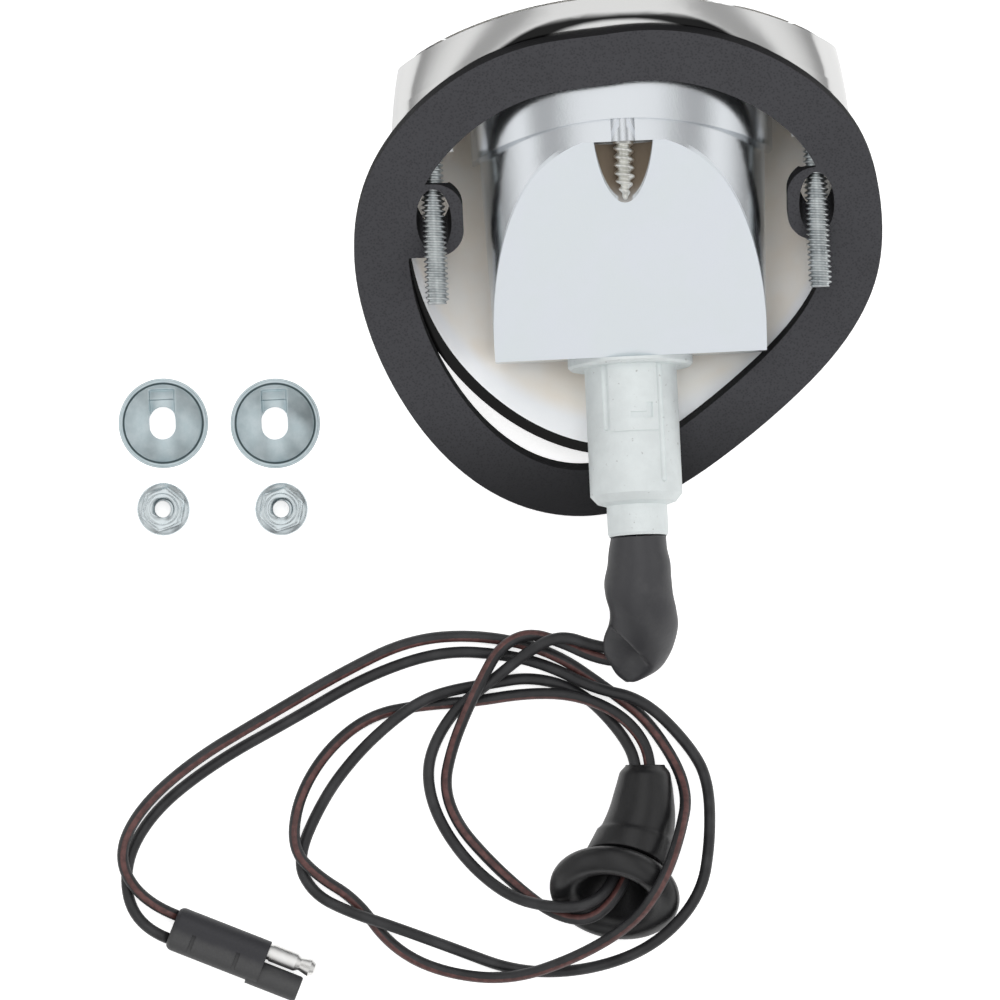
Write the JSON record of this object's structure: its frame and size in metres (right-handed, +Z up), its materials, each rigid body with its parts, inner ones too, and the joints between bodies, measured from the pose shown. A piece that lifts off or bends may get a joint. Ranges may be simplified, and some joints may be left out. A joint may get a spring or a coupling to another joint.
{
  "type": "reversing light",
  "caption": "Reversing light of a car: chromed pod with a clear lens, slanted mounting gasket and studs, and a bulb socket whose sleeved wires pass a rubber grommet to a connector.",
  "frame": {"origin": "midway between the two mounting studs, on the line that joins their axes", "axes": "+X from the left stud to the right one as seen from above, +Y forwards to the lens, +Z up from the table"},
  "size_m": [0.1654, 0.2048, 0.0595],
  "materials": {
    "mounting_studs": "bright zinc-plated steel",
    "pod_housing": "chrome-plated zinc casting, cream paint inside",
    "mounting_gasket": "matte black closed-cell foam",
    "reflector": "pale grey cast zinc",
    "lens": "clear fluted lens",
    "lens_seal": "black cork rubber",
    "lens_screw": "zinc-plated steel",
    "socket_shell": "bare cast zinc",
    "bulb_base": "plain brass",
    "bulb_glass": "clear glass",
    "bulb_filament": "tungsten wire",
    "contact_button": "plain brass",
    "contact_disc": "brown fibre",
    "contact_spring": "spring steel",
    "wire_sleeve": "dark grey satin vinyl",
    "feed_wire": "black insulation with a red-brown tracer",
    "ground_wire": "black insulation",
    "grommet": "black moulded rubber",
    "connector_body": "charcoal moulded plastic",
    "bullet_terminal": "nickel-plated brass",
    "socket_terminal": "plain brass",
    "cup_washers": "bright zinc plate",
    "flange_nuts": "blue-white zinc plate"
  },
  "bodies": {
    "root": {"mounting_studs": "mounting_studs", "pod_housing": "pod_housing", "mounting_gasket": "mounting_gasket", "reflector": "reflector", "lens": "lens", "lens_seal": "lens_seal", "lens_screw": "lens_screw", "socket_shell": "socket_shell", "bulb_base": "bulb_base", "bulb_glass": "bulb_glass", "bulb_filament": "bulb_filament", "contact_button": "contact_button", "contact_disc": "contact_disc", "contact_spring": "contact_spring", "wire_sleeve": "wire_sleeve", "feed_wire": "feed_wire", "ground_wire": "ground_wire", "grommet": "grommet", "connector_body": "connector_body", "bullet_terminal": "bullet_terminal", "socket_terminal": "socket_terminal", "cup_washers": "cup_washers", "flange_nuts": "flange_nuts"}
  },
  "joints": []
}
